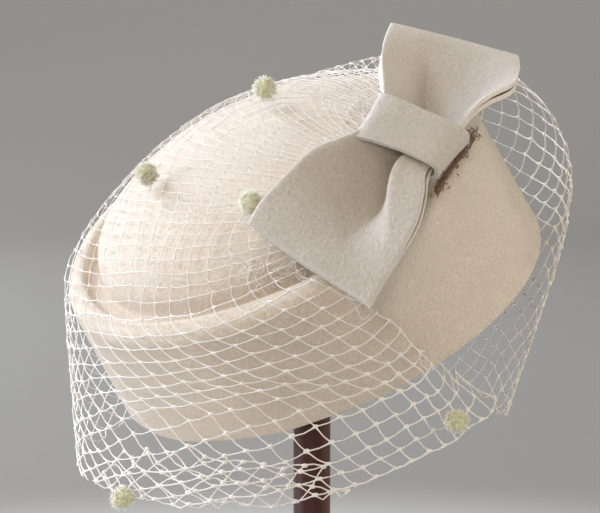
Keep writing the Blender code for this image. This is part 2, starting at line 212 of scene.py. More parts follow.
# The lamp on the backdrop: where it stands, what it faces, how wide it is, and its colour
WASH_FROM = Vector((0.0, 2.4, 2.6))
WASH_ONTO = Vector((0.0, 4.0, 0.9))
WASH_WIDTH = 2.0
WASH_COLOUR = "#F6F8FF"

# The viewing angle: a long lens, level with the crown and looking slightly down
VIEW_FROM = Vector((-0.0052, -0.9155, 0.2684))
VIEW_TILT = math.radians(85.0)
VIEW_LENS = 127.06


class PillboxFeltSettings(bpy.types.PropertyGroup):
    """Sizes and colour of the blocked felt body."""

    wall: FloatProperty(
        name="Felt", description="Thickness of the felt", default=0.0025, unit="LENGTH", subtype="DISTANCE"
    )
    base_long: FloatProperty(
        name="Base long", description="Half length of the head opening", default=0.0999, unit="LENGTH"
    )
    base_short: FloatProperty(
        name="Base short", description="Half width of the head opening", default=0.0786, unit="LENGTH"
    )
    wall_height: FloatProperty(
        name="Wall", description="Height of the wall below the rim", default=0.0610, unit="LENGTH"
    )
    hem_radius: FloatProperty(
        name="Hem", description="Radius of the turned-in lower edge", default=0.0040, unit="LENGTH"
    )
    rim_long: FloatProperty(
        name="Rim long", description="Half length of the rim", default=0.0888, unit="LENGTH"
    )
    rim_short: FloatProperty(
        name="Rim short", description="Half width of the rim", default=0.0836, unit="LENGTH"
    )
    rim_radius: FloatProperty(
        name="Rim round", description="Outer radius of the rolled rim", default=0.0068, unit="LENGTH"
    )
    rim_inner_radius: FloatProperty(
        name="Rim inner round", description="Inner radius of the rolled rim", default=0.0029, unit="LENGTH"
    )
    groove_width: FloatProperty(
        name="Groove", description="Width of the groove inside the rim", default=0.0069, unit="LENGTH"
    )
    groove_depth: FloatProperty(
        name="Groove depth",
        description="Depth of the groove below the rim's middle",
        default=0.0,
        unit="LENGTH",
    )
    dome_rise: FloatProperty(
        name="Dome", description="Height of the dome above the rim's middle", default=0.0375, unit="LENGTH"
    )
    sides: IntProperty(name="Sides", description="Faces round the hat", default=144, min=24)
    nap: IntProperty(name="Nap", description="Fibres that stand off the felt", default=26000, min=0)
    colour: StringProperty(name="Felt colour", description="Cream wool felt, as sRGB hex", default="#E9DCCC")


class PillboxBowSettings(bpy.types.PropertyGroup):
    """Sizes and colour of the felt bow."""

    strip: FloatProperty(
        name="Strip", description="Thickness of the bow's felt", default=0.0018, unit="LENGTH"
    )
    band_length: FloatProperty(name="Band", description="Length of the band", default=0.0215, unit="LENGTH")
    band_width: FloatProperty(
        name="Band width", description="Width across the band", default=0.0405, unit="LENGTH"
    )
    band_depth: FloatProperty(
        name="Band depth", description="Depth through the band", default=0.0175, unit="LENGTH"
    )
    steps: IntProperty(name="Steps", description="Faces across each loop", default=72, min=8)
    nap: IntProperty(name="Nap", description="Fibres that stand off each loop", default=9000, min=0)
    colour: StringProperty(name="Bow colour", description="Cooler cream felt, as sRGB hex", default="#D9D1C7")


class PillboxVeilSettings(bpy.types.PropertyGroup):
    """Sizes and colours of the netting and its dots."""

    mesh: FloatProperty(name="Mesh", description="Thread between two knots", default=0.0090, unit="LENGTH")
    thread: FloatProperty(
        name="Thread", description="Thickness of the thread", default=0.00059, unit="LENGTH"
    )
    knot: FloatProperty(name="Knot", description="Width of a knot", default=0.0023, unit="LENGTH")
    turned_up: FloatProperty(
        name="Turned up",
        description="How far the near hem is turned up inside",
        default=0.0245,
        unit="LENGTH",
    )
    dot: FloatProperty(name="Dot", description="Radius of a chenille dot", default=0.0056, unit="LENGTH")
    colour: StringProperty(name="Net colour", description="Ivory netting, as sRGB hex", default="#F1ECE6")
    # The brown threads along the seam are painted shade for the crevice at the band's end
    shade_threads: IntProperty(
        name="Shade threads", description="Brown threads along the bow's seam", default=16, min=0
    )
    shade_thread_colour: StringProperty(
        name="Shade thread colour", description="Brown thread, as sRGB hex", default="#8F6C4C"
    )
    dot_colour: StringProperty(
        name="Dot colour", description="Pale green chenille, as sRGB hex", default="#E6E5BE"
    )


class PillboxStandSettings(bpy.types.PropertyGroup):
    """Sizes and colour of the turned stand."""

    sides: IntProperty(name="Sides", description="Faces round each turned piece", default=128, min=24)
    colour: StringProperty(
        name="Wood colour", description="Dark red mahogany, as sRGB hex", default="#4A1B0E"
    )


class PillboxStageSettings(bpy.types.PropertyGroup):
    """The floor, the backdrop and the light."""

    # The pale floor colour round the stand is a painted pool of light, fading to the grey backdrop colour
    # further out
    floor_colour: StringProperty(
        name="Floor colour", description="Pale paper round the stand, as sRGB hex", default="#E6E2DC"
    )
    backdrop_colour: StringProperty(
        name="Backdrop colour", description="Grey paper further out, as sRGB hex", default="#8A867F"
    )
    light: FloatProperty(
        name="Light", description="Strength of all the lamps together", default=1.22, min=0.0
    )
    room: FloatProperty(
        name="Room", description="Strength of the light from all round", default=0.2, min=0.0
    )
    wash: FloatProperty(
        name="Wash", description="Power of the lamp on the backdrop in watts", default=34.0, min=0.0
    )


def millimetres(value):
    """A length or a place given in millimetres, in metres."""
    return value * 0.001


def in_metres(names, row, angles=()):
    """A table's row as a dict, with its lengths in metres and the named angles in radians."""
    scale = {name: math.radians if name in angles else millimetres for name in names}
    return {name: scale[name](value) for name, value in zip(names, row)}


def smooth_row(rows, place):
    """The row at a place along the table, from a curve through its rows."""
    last = len(rows) - 1
    index = min(int(place), last - 1)
    t = place - index
    before, first, second, after = (rows[min(max(index + k, 0), last)] for k in (-1, 0, 1, 2))
    result = {}
    for name in first:
        slope_in = (second[name] - before[name]) / 2
        slope_out = (after[name] - first[name]) / 2
        rise = second[name] - first[name]
        bend = 3 * rise - 2 * slope_in - slope_out
        end = slope_in + slope_out - 2 * rise
        result[name] = first[name] + t * (slope_in + t * (bend + t * end))
    return result


def hat_pose():
    """The hat's own frame on its stand, from its rim's middle."""
    lean = Matrix.Rotation(LEAN_TOWARD, 4, "Z") @ Matrix.Rotation(LEAN, 4, "Y")
    return Matrix.Translation(RIM_MIDDLE) @ lean @ Matrix.Rotation(HAT_TURN, 4, "Z")


def pointing(turn, height):
    """The direction at a turn about the upright and a height above level, both in radians."""
    level = math.cos(height)
    return Vector((level * math.cos(turn), level * math.sin(turn), math.sin(height)))


def scatter(rng):
    """A random offset of about one unit each way."""
    return Vector((rng.gauss(0, 1), rng.gauss(0, 1), rng.gauss(0, 1)))


def aimed(middle, aim):
    """A frame whose Y points along the aim, whose X is across it and whose Z faces out from the hat."""
    azimuth, elevation, roll = (math.radians(angle) for angle in aim)
    along = pointing(azimuth, elevation)
    level = Vector((math.sin(azimuth), -math.cos(azimuth), 0))
    across = level * math.cos(roll) + level.cross(along) * math.sin(roll)
    out = across.cross(along)
    return Matrix.Translation(middle) @ Matrix((across, along, out)).transposed().to_4x4()


def linear(hex_colour):
    """An sRGB hex colour as linear red, green, blue and alpha."""
    values = []
    for start in (1, 3, 5):
        value = int(hex_colour[start:start + 2], 16) / 255
        values.append(value / 12.92 if value <= 0.04045 else ((value + 0.055) / 1.055) ** 2.4)
    return (*values, 1.0)


def set_sockets(tree, node, sockets):
    """Set a node's sockets; one that is given another node's output is linked to it."""
    for name, value in sockets.items():
        if isinstance(value, bpy.types.NodeSocket):
            tree.links.new(value, node.inputs[name])
        else:
            node.inputs[name].default_value = value


def add_node(tree, kind, sockets=None, **settings):
    """Add one node with its settings, then its sockets."""
    node = tree.nodes.new(kind)
    for name, value in settings.items():
        setattr(node, name, value)
    set_sockets(tree, node, sockets or {})
    return node


def new_material(name):
    """A new material with a Principled shader, and its tree, shader and object coordinates."""
    made = bpy.data.materials.new(name)
    made.use_nodes = True
    tree = made.node_tree
    shader = tree.nodes["Principled BSDF"]
    place = add_node(tree, "ShaderNodeTexCoord").outputs["Object"]
    return made, tree, shader, place


def per_metre(size):
    """The scale of a texture whose pattern has this size in metres."""
    return 1 / size


def shaded(hex_colour, factor):
    """A colour made lighter or darker by a factor."""
    red, green, blue, alpha = linear(hex_colour)
    return (min(red * factor, 1), min(green * factor, 1), min(blue * factor, 1), alpha)


def wool_felt(name, hex_colour):
    """Blocked wool felt: matted fibres with a short nap, dull, with a soft sheen at grazing angles.

    The eye sees small soft clumps about a millimetre wide, finer fibre between them, and faint clouding.
    Single wool fibres are too fine to show, so the finer pattern is drawn at about half a millimetre.
    The hollows between the clumps are painted darker as shade, and the marked cut edges are painted
    lighter as a highlight where they catch the light.
    """
    made, tree, shader, place = new_material(name)
    clouds = add_node(tree, "ShaderNodeTexNoise", {"Vector": place, "Scale": per_metre(0.018), "Detail": 3.0})
    clumps = add_node(
        tree,
        "ShaderNodeTexNoise",
        {"Vector": place, "Scale": per_metre(0.0013), "Detail": 4.0, "Roughness": 0.62, "Distortion": 0.1},
    )
    fibres = add_node(
        tree,
        "ShaderNodeTexNoise",
        {"Vector": place, "Scale": per_metre(0.00045), "Detail": 3.0, "Roughness": 0.7, "Distortion": 0.8},
    )
    clouding = add_node(
        tree,
        "ShaderNodeMapRange",
        {"Value": clouds.outputs["Fac"], "From Min": 0.3, "From Max": 0.7},
    )
    nap = add_node(
        tree,
        "ShaderNodeMapRange",
        {"Value": clumps.outputs["Fac"], "From Min": 0.3, "From Max": 0.7},
    )
    ground = add_node(
        tree,
        "ShaderNodeMix",
        {"Factor": clouding.outputs["Result"], "A": shaded(hex_colour, 0.94), "B": shaded(hex_colour, 1.03)},
        data_type="RGBA",
    )
    # painted shade: where the clumps' bump is low the colour is darkened, as shade in the hollows between
    # them
    tone = add_node(
        tree,
        "ShaderNodeMix",
        {"Factor": nap.outputs["Result"], "B": ground.outputs["Result"], "A": shaded(hex_colour, 0.80)},
        data_type="RGBA",
    )
    # painted highlight: the cut edges marked in the mesh are painted lighter, as where they catch the light
    cut = add_node(tree, "ShaderNodeAttribute", attribute_name="cut_edge")
    edge_highlighted = add_node(
        tree,
        "ShaderNodeMix",
        {"Factor": cut.outputs["Fac"], "A": tone.outputs["Result"], "B": shaded(hex_colour, 1.28)},
        data_type="RGBA",
    )
    low = add_node(
        tree,
        "ShaderNodeBump",
        {"Height": clumps.outputs["Fac"], "Strength": 0.75, "Distance": 0.0009},
    )
    fine = add_node(
        tree,
        "ShaderNodeBump",
        {
            "Height": fibres.outputs["Fac"],
            "Strength": 0.6,
            "Distance": 0.0004,
            "Normal": low.outputs["Normal"],
        },
    )
    set_sockets(
        tree,
        shader,
        {
            "Base Color": edge_highlighted.outputs["Result"],
            "Normal": fine.outputs["Normal"],
            "Roughness": 0.95,
            "Specular IOR Level": 0.2,
            "Sheen Weight": 0.35,
            "Sheen Roughness": 0.5,
            "Sheen Tint": shaded(hex_colour, 1.05),
        },
    )
    return made


def cotton_net(name, hex_colour):
    """Knotted netting of stiffened cotton and nylon thread: slightly glossy, with a twisted surface.

    The twist is drawn coarser than the real one, so that it shows.
    """
    made, tree, shader, place = new_material(name)
    twist = add_node(
        tree, "ShaderNodeTexNoise", {"Vector": place, "Scale": per_metre(0.0008), "Detail": 2.0}
    )
    tone = add_node(
        tree,
        "ShaderNodeMix",
        {"Factor": twist.outputs["Fac"], "A": shaded(hex_colour, 0.86), "B": shaded(hex_colour, 1.04)},
        data_type="RGBA",
    )
    ridges = add_node(
        tree,
        "ShaderNodeBump",
        {"Height": twist.outputs["Fac"], "Strength": 0.4, "Distance": 0.0002},
    )
    set_sockets(
        tree,
        shader,
        {
            "Base Color": tone.outputs["Result"],
            "Normal": ridges.outputs["Normal"],
            "Roughness": 0.45,
            "Sheen Weight": 0.3,
            "Sheen Roughness": 0.4,
        },
    )
    return made


def chenille(name, hex_colour):
    """Chenille: short cut pile, pale green in its depth and whitish at its tips."""
    made, tree, shader, place = new_material(name)
    tip = add_node(tree, "ShaderNodeAttribute", attribute_name="tip")
    tuft = add_node(
        tree, "ShaderNodeTexNoise", {"Vector": place, "Scale": per_metre(0.0015), "Detail": 2.0}
    )
    depth = add_node(
        tree,
        "ShaderNodeMix",
        {"Factor": tuft.outputs["Fac"], "A": shaded(hex_colour, 0.70), "B": shaded(hex_colour, 1.10)},
        data_type="RGBA",
    )
    tone = add_node(
        tree,
        "ShaderNodeMix",
        {"Factor": tip.outputs["Fac"], "A": depth.outputs["Result"], "B": linear("#F5F4E4")},
        data_type="RGBA",
    )
    set_sockets(
        tree,
        shader,
        {"Base Color": tone.outputs["Result"], "Roughness": 0.9, "Sheen Weight": 0.4},
    )
    return made


def lacquered_wood(name, hex_colour):
    """Turned mahogany under dark red lacquer: fine grain along the post, under a smooth glossy coat."""
    made, tree, shader, place = new_material(name)
    stretched = add_node(tree, "ShaderNodeMapping", {"Vector": place, "Scale": (1.0, 1.0, 0.06)})
    grain = add_node(
        tree,
        "ShaderNodeTexNoise",
        {"Vector": stretched.outputs["Vector"], "Scale": per_metre(0.0022), "Detail": 5.0, "Distortion": 0.8},
    )
    figure = add_node(
        tree,
        "ShaderNodeTexNoise",
        {"Vector": stretched.outputs["Vector"], "Scale": per_metre(0.012), "Detail": 2.0},
    )
    streaks = add_node(
        tree,
        "ShaderNodeMix",
        {"Factor": grain.outputs["Fac"], "A": shaded(hex_colour, 0.35), "B": shaded(hex_colour, 1.35)},
        data_type="RGBA",
    )
    tone = add_node(
        tree,
        "ShaderNodeMix",
        {"Factor": figure.outputs["Fac"], "A": streaks.outputs["Result"], "B": shaded(hex_colour, 0.9)},
        data_type="RGBA",
    )
    pores = add_node(
        tree,
        "ShaderNodeBump",
        {"Height": grain.outputs["Fac"], "Strength": 0.15, "Distance": 0.0002},
    )
    set_sockets(
        tree,
        shader,
        {
            "Base Color": tone.outputs["Result"],
            "Normal": pores.outputs["Normal"],
            "Roughness": 0.42,
            "Specular IOR Level": 0.35,
            "Coat Weight": 0.25,
            "Coat Roughness": 0.22,
        },
    )
    return made


def matt_paper(name, near_colour, far_colour):
    """Graduated background paper: matt, painted palest round the stand as a pool of light, fading to grey
    further out; its faint tooth drawn coarser than real.
    """
    palest_to, darkest_from = 0.12, 0.48
    made, tree, shader, place = new_material(name)
    reach = add_node(tree, "ShaderNodeVectorMath", {"Vector": place}, operation="LENGTH")
    # painted pool of light: palest round the stand, fading to grey further out
    light_pool_fade = add_node(
        tree,
        "ShaderNodeMapRange",
        {"Value": reach.outputs["Value"], "From Min": palest_to, "From Max": darkest_from},
        interpolation_type="SMOOTHSTEP",
    )
    pulp = add_node(tree, "ShaderNodeTexNoise", {"Vector": place, "Scale": per_metre(0.004), "Detail": 4.0})
    ground = add_node(
        tree,
        "ShaderNodeMix",
        {"Factor": light_pool_fade.outputs["Result"], "A": linear(near_colour), "B": linear(far_colour)},
        data_type="RGBA",
    )
    tone = add_node(
        tree,
        "ShaderNodeMix",
        {"Factor": 0.06, "A": ground.outputs["Result"], "B": pulp.outputs["Color"]},
        data_type="RGBA",
        blend_type="SOFT_LIGHT",
    )
    set_sockets(
        tree,
        shader,
        {"Base Color": tone.outputs["Result"], "Roughness": 0.9, "Specular IOR Level": 0.2},
    )
    return made


def only(obj):
    """Deselect everything, and make this object the active one."""
    bpy.ops.object.select_all(action="DESELECT")
    obj.select_set(True)
    bpy.context.view_layer.objects.active = obj


def settle(obj, name, finish):
    """Name a finished object, put its place into its mesh, and give it its material."""
    only(obj)
    bpy.ops.object.transform_apply(location=True, rotation=True, scale=True)
    obj.name = name
    obj.data.name = name
    obj.data.materials.clear()
    obj.data.materials.append(finish)


def add_object(data):
    """A new object in the scene for this mesh, under the same name."""
    made = bpy.data.objects.new(data.name, data)
    bpy.context.scene.collection.objects.link(made)
    return made


def apply_modifiers(obj):
    """Apply all of an object's modifiers, in their order."""
    only(obj)
    for modifier in list(obj.modifiers):
        bpy.ops.object.modifier_apply(modifier=modifier.name)


def aim_faces(obj, inwards=False):
    """Turn all faces outwards, or inwards as round a room."""
    only(obj)
    bpy.ops.object.mode_set(mode="EDIT")
    bpy.ops.mesh.select_all(action="SELECT")
    bpy.ops.mesh.normals_make_consistent(inside=inwards)
    bpy.ops.object.mode_set(mode="OBJECT")


def thicken(obj, thickness, offset):
    """Give a sheet of felt its wall: all on its inner side at offset -1, and half on each side at 0."""
    shell = obj.modifiers.new("wall", "SOLIDIFY")
    shell.thickness = thickness
    shell.offset = offset
    shell.use_even_offset = True
    apply_modifiers(obj)


def soften_cut_edges(obj):
    """Round the cut edges of thickened felt a little."""
    soft = obj.modifiers.new("cut_edge", "BEVEL")
    soft.width = CUT_EDGE_ROUND
    soft.segments = 2
    soft.limit_method = "ANGLE"
    soft.angle_limit = math.radians(50)
    apply_modifiers(obj)


def fix_order(mesh):
    """Put a mesh's points, edges and faces in the order of their places.

    Extrude leaves them in another order each run, and the nap's fibres are drawn from the list of faces.
    """
    grid = bmesh.new()
    grid.from_mesh(mesh)
    by_place = (
        (grid.verts, lambda point: tuple(point.co)),
        (grid.edges, lambda edge: sorted(point.index for point in edge.verts)),
        (grid.faces, lambda face: sorted(point.index for point in face.verts)),
    )
    for parts, place in by_place:
        ranks = {part: rank for rank, part in enumerate(sorted(parts, key=place))}
        parts.sort(key=ranks.get)
        parts.index_update()
    grid.to_mesh(mesh)
    grid.free()


def ring_shape(rows, sides, closed_foot):
    """Raise a round or oval shape ring by ring up to a pole; a row is half length, half width and height."""
    long, short, height = rows[0]
    bpy.ops.object.select_all(action="DESELECT")
    bpy.ops.mesh.primitive_circle_add(vertices=sides, radius=1, fill_type="NOTHING", location=(0, 0, 0))
    made = bpy.context.object
    bpy.ops.object.mode_set(mode="EDIT")
    bpy.ops.mesh.select_all(action="SELECT")
    bpy.ops.transform.resize(value=(long, short, 1))
    bpy.ops.transform.translate(value=(0, 0, height))
    if closed_foot:
        bpy.ops.mesh.edge_face_add()
    for before, after in zip(rows, rows[1:]):
        bpy.ops.mesh.extrude_region_move(TRANSFORM_OT_translate={"value": (0, 0, after[2] - before[2])})
        ratio = (after[0] / before[0], after[1] / before[1], 1)
        bpy.ops.transform.resize(value=ratio, center_override=(0, 0, after[2]))
    bpy.ops.mesh.merge(type="CENTER")
    bpy.ops.object.mode_set(mode="OBJECT")
    fix_order(made.data)
    return made


def arc(long, short, height, radius, start, stop, steps):
    """Rows round a bend in a section, about a centre line that follows the oval."""
    rows = []
    for step in range(steps + 1):
        angle = math.radians(start + (stop - start) * step / steps)
        reach = radius * math.cos(angle)
        rows.append((long + reach, short + reach, height + radius * math.sin(angle)))
    return rows


def hat_rows(felt):
    """The outside of the felt's section, from the lip of the turned-in edge to the top of the dome."""
    hem = -felt.wall_height + felt.hem_radius
    groove = felt.groove_width / 2
    inside = felt.rim_inner_radius + groove
    crest = felt.rim_radius - felt.rim_inner_radius
    hem_long, hem_short = felt.base_long - felt.hem_radius, felt.base_short - felt.hem_radius
    groove_long, groove_short = felt.rim_long - inside, felt.rim_short - inside
    rows = arc(hem_long, hem_short, hem, felt.hem_radius, 180, 360, 12)
    foot = rows[-1]
    rim = arc(felt.rim_long, felt.rim_short, 0, felt.rim_radius, 0, 90, 8)
    rim += arc(felt.rim_long, felt.rim_short, crest, felt.rim_inner_radius, 90, 180, 7)[1:]
    wall_steps = 16
    for step in range(1, wall_steps):
        share = step / wall_steps
        rows.append(tuple(low + (high - low) * share for low, high in zip(foot, rim[0])))
    rows += rim
    rows += arc(groove_long, groove_short, groove - felt.groove_depth, groove, 0, -180, 8)
    dome_long, dome_short, dome_foot = rows[-1]
    dome_steps = 34
    for step in range(1, dome_steps):
        angle = math.radians(90 * step / dome_steps)
        spread = math.cos(angle)
        rise = (felt.dome_rise - dome_foot) * math.sin(angle)
        rows.append((dome_long * spread, dome_short * spread, dome_foot + rise))
    last_ring = 0.3
    rows.append((rows[-1][0] * last_ring, rows[-1][1] * last_ring, felt.dome_rise))
    return rows


def hand_blocked(mesh, deep):
    """Let the surface wander a little, as felt does that was pulled over a block by hand."""
    broad_size, close_size, close_share = 0.034, 0.011, 0.3
    normals = [point.normal.copy() for point in mesh.vertices]
    for point, normal in zip(mesh.vertices, normals):
        broad = noise.noise(point.co * per_metre(broad_size))
        close = noise.noise(point.co * per_metre(close_size) + Vector((7, 3, 5)))
        point.co += normal * (deep * broad + deep * close_share * close)


def add_nap(obj, count, faces, seed):
    """Raise the felt's nap: short pointed fibres over the first faces of the object, leaning all ways."""
    shortest, longest, root = 0.0006, 0.0015, 0.0001
    rng = random.Random(seed)
    data = obj.data
    ground = data.polygons[:faces]
    picked = rng.choices(ground, weights=[face.area for face in ground], k=count)
    points, sides = [], []
    for face in picked:
        corners = [data.vertices[k].co for k in face.vertices]
        share, other = rng.random(), rng.random()
        place = corners[0].lerp(corners[1], share).lerp(corners[-1].lerp(corners[-2], share), other)
        across = face.normal.orthogonal().normalized()
        across.rotate(Matrix.Rotation(rng.uniform(0, 2 * math.pi), 3, face.normal))
        ahead = face.normal.cross(across)
        lean = (face.normal * rng.uniform(0.25, 1.0) + ahead).normalized() * rng.uniform(shortest, longest)
        start = len(points)
        foot = place - face.normal * root
        points += [foot + across * NAP_RADIUS, foot + face.normal * NAP_RADIUS, foot - across * NAP_RADIUS]
        points.append(place + lean)
        sides += [(start, start + 1, start + 3), (start + 1, start + 2, start + 3)]
        sides += [(start + 2, start, start + 3), (start, start + 2, start + 1)]
    fibres = bpy.data.meshes.new(obj.name + "_nap")
    fibres.from_pydata(points, [], sides)
    nap = add_object(fibres)
    aim_faces(nap)
    bpy.ops.object.shade_smooth()
    only(obj)
    nap.select_set(True)
    bpy.ops.object.join()


class PILLBOX_OT_hat(bpy.types.Operator):
    """Model the felt body ring by ring, give it its wall, and lean it on the stand"""

    bl_idname = "pillbox.hat"
    bl_label = "Felt Body"
    bl_options = {"REGISTER", "UNDO"}

    def execute(self, context):
        felt = context.scene.pillbox_felt
        made = ring_shape(hat_rows(felt), felt.sides, closed_foot=False)
        aim_faces(made)
        hand_blocked(made.data, BODY_WANDER)
        outer_faces = len(made.data.polygons)
        thicken(made, felt.wall, offset=-1)
        bpy.ops.object.shade_smooth()
        add_nap(made, felt.nap, outer_faces, seed=5)
        made.matrix_world = hat_pose()
        settle(made, "felt_body", wool_felt("cream_wool_felt", felt.colour))
        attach(made, "root")
        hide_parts("hat_body")
        return {"FINISHED"}


def loop_section(row, across, gap, steepness):
    """A loop's section at one place across it: its two layers' heights, and how far the pleat laps left.

    steepness says how much steeper the pleat's left and right side are at the bottom than at the top.
    """
    side = across - row["crease_at"]
    spread = row["slope_left"] if side < 0 else row["slope_right"]
    away = math.hypot(side, CREASE_ROUND) - CREASE_ROUND
    crease = row["crease"] * max(0.0, 1 - away / spread) ** steepness[0 if side < 0 else 1]
    if across < 0:
        lift = row["lift_left"] * (across / row["left"]) ** 2
    else:
        lift = row["lift_right"] * (across / row["right"]) ** 2
    level = row["front"] + lift
    front = level - crease
    back = min(level - crease * BACK_CREASE - gap, front - LAYER_GAP)
    lap = 0.0
    if side > 0:
        beyond = max(0.0, side - row["slope_right"])
        lap = row["lap"] * min(side / row["slope_right"], 1.0) * math.exp(-beyond / LAP_REACH)
    return front, back, lap


def loop_point(rows, steepness, share_along, share_across):
    """A point of a bow loop: out along the front layer, round the fold, and back along the back layer.

    The layers close up towards the strip's two edges, which curl back a little.
    """
    fold_start, fold_end = 0.46, 0.54
    closing = 0.6
    curl_start, curl_reach = 0.94, 0.06
    last = len(rows) - 1
    edge = abs(2 * share_across - 1)
    if share_along < fold_start:
        row = smooth_row(rows, last * share_along / fold_start)
    elif share_along > fold_end:
        row = smooth_row(rows, last * (1 - share_along) / (1 - fold_end))
    else:
        row = rows[last]
    across = -row["left"] + share_across * (row["left"] + row["right"])
    gap = max((row["front"] - row["back"]) * (1 - closing * edge ** 2), LAYER_GAP)
    front, back, lap = loop_section(row, across, gap, steepness)
    reach = row["reach"]
    if share_along < fold_start:
        height = front
        across -= lap
    elif share_along > fold_end:
        height = back
    else:
        turn = math.pi * (share_along - fold_start) / (fold_end - fold_start)
        reach += gap / 2 * math.sin(turn)
        height = front - gap / 2 + gap / 2 * math.cos(turn)
    curl = EDGE_CURL * max(0.0, (edge - curl_start) / curl_reach) ** 2
    return Vector((across, reach, height - curl))


def bow_loop(name, table, steepness, aim, side, node, bow, finish):
    """Bend a grid of felt into one loop of the bow, thicken it, and soften its cut edges."""
    outermost = 0.4999
    rows = [in_metres(LOOP_COLUMNS, row) for row in table]
    bpy.ops.object.select_all(action="DESELECT")
    bpy.ops.mesh.primitive_grid_add(x_subdivisions=bow.steps, y_subdivisions=2 * bow.steps, size=1)
    made = bpy.context.object
    # cut_edge marks the strip's side edges, which the felt's material paints lighter as a painted highlight
    cut = made.data.attributes.new("cut_edge", "FLOAT", "POINT")
    for point in made.data.vertices:
        cut.data[point.index].value = 1.0 if abs(point.co.x) > outermost else 0.0
        bent = loop_point(rows, steepness, point.co.y + 0.5, point.co.x + 0.5)
        point.co = (bent.x, side * bent.y, bent.z)
    aim_faces(made)
    hand_blocked(made.data, BOW_WANDER)
    thicken(made, bow.strip, offset=0)
    soften_cut_edges(made)
    bpy.ops.object.shade_smooth_by_angle(angle=math.radians(60))
    add_nap(made, bow.nap, len(made.data.polygons), seed=7)
    made.matrix_world = aimed(KNOT_MIDDLE, aim)
    settle(made, name, finish)
    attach(made, "root")
    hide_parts(node)


def band_point(place, bow):
    """Where a point of a plain tube lies on the band: a flattened ring, drawn in slightly at its middle.

    Its underside is narrower than its face. Towards the lower loop its right side tapers and its left side
    slants, and the whole is moved a little along the bow, aside and in towards the hat.
    """
    squareness, undercut = 5.0, 0.45
    waist, waist_rise = 0.975, 0.025
    taper, skew = 0.17, 0.0026
    shift, aside, sink = 0.0023, 0.0006, 0.0008
    turn = math.atan2(place.y, place.x)
    share = 2 * place.z
    girth = waist + waist_rise * share ** 2
    fullness = abs(math.cos(turn)) ** squareness + abs(math.sin(turn)) ** squareness
    reach = fullness ** (-1 / squareness)
    level = reach * math.sin(turn)
    narrowed = 1 + undercut * min(level, 0.0)
    across = reach * math.cos(turn) * girth * narrowed
    lower = (1 - share) / 2
    along = share * bow.band_length / 2 - shift - skew * lower * max(-across, 0.0)
    if across > 0:
        across *= 1 - taper * lower
    out = level * bow.band_depth / 2 * girth - sink
    return (across * bow.band_width / 2 - aside, along, out)


def bow_band(bow, finish):
    """Wrap the band round the bow's waist, thicken it, and soften its cut edges."""
    sides, cuts = 112, 17
    bpy.ops.object.select_all(action="DESELECT")
    bpy.ops.mesh.primitive_cylinder_add(vertices=sides, radius=1, depth=1, end_fill_type="NOTHING")
    made = bpy.context.object
    grid = bmesh.new()
    grid.from_mesh(made.data)
    rails = [edge for edge in grid.edges if abs(edge.verts[0].co.z - edge.verts[1].co.z) > 0.5]
    bmesh.ops.subdivide_edges(grid, edges=rails, cuts=cuts, use_grid_fill=True)
    for point in grid.verts:
        point.co = band_point(point.co, bow)
    grid.to_mesh(made.data)
    grid.free()
    aim_faces(made)
    hand_blocked(made.data, BOW_WANDER)
    thicken(made, bow.strip, offset=-1)
    soften_cut_edges(made)
    bpy.ops.object.shade_smooth_by_angle(angle=math.radians(45))
    add_nap(made, bow.nap // 3, len(made.data.polygons), seed=9)
    made.matrix_world = aimed(KNOT_MIDDLE, KNOT_AIM)
    settle(made, "bow_band", finish)
    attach(made, "root")
    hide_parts("bow_knot")


class PILLBOX_OT_bow(bpy.types.Operator):
    """Model the bow: two folded loops of felt, and the band round their waist"""

    bl_idname = "pillbox.bow"
    bl_label = "Felt Bow"
    bl_options = {"REGISTER", "UNDO"}

    def execute(self, context):
        bow = context.scene.pillbox_bow
        finish = wool_felt("bow_wool_felt", bow.colour)
        lower = (LOWER_LOOP, LOWER_STEEPNESS, LOWER_AIM, -1)
        upper = (UPPER_LOOP, UPPER_STEEPNESS, UPPER_AIM, 1)
        bow_loop("bow_loop_lower", *lower, "bow_lower_loop", bow, finish)
        bow_loop("bow_loop_upper", *upper, "bow_upper_loop", bow, finish)
        bow_band(bow, finish)
        return {"FINISHED"}


def cap_height(felt, long, short):
    """The height of netting stretched over the dome and the rim."""
    reach = min(1.0, math.hypot(long / felt.rim_long, short / felt.rim_short))
    lift = felt.dome_rise + CROWN_LIFT - felt.rim_radius
    return felt.rim_radius + lift * (1 - reach ** CROWN_FULLNESS)


def crown_line(felt, row, pose, gap, steps):
    """The veil's way from the gather under the bow to the rim's crest, in one column."""
    rim = Vector((felt.rim_long * math.cos(row["rim_turn"]), felt.rim_short * math.sin(row["rim_turn"])))
    gather = Vector((felt.rim_long * math.cos(GATHER_TURN), felt.rim_short * math.sin(GATHER_TURN)))
    start = gather + (rim - gather).normalized() * row["root"]
    crest_share = 0.94
    points = []
    for step in range(steps):
        place = start.lerp(rim, crest_share * step / (steps - 1))
        points.append(pose @ Vector((*place, cap_height(felt, *place) + gap)))
    for turn in (72, 45):
        angle = math.radians(turn)
        reach = felt.rim_radius + row["rim_gap"]
        ease = 1 + reach * math.cos(angle) / rim.length
        points.append(pose @ Vector((*(rim * ease), reach * math.sin(angle))))
    return points


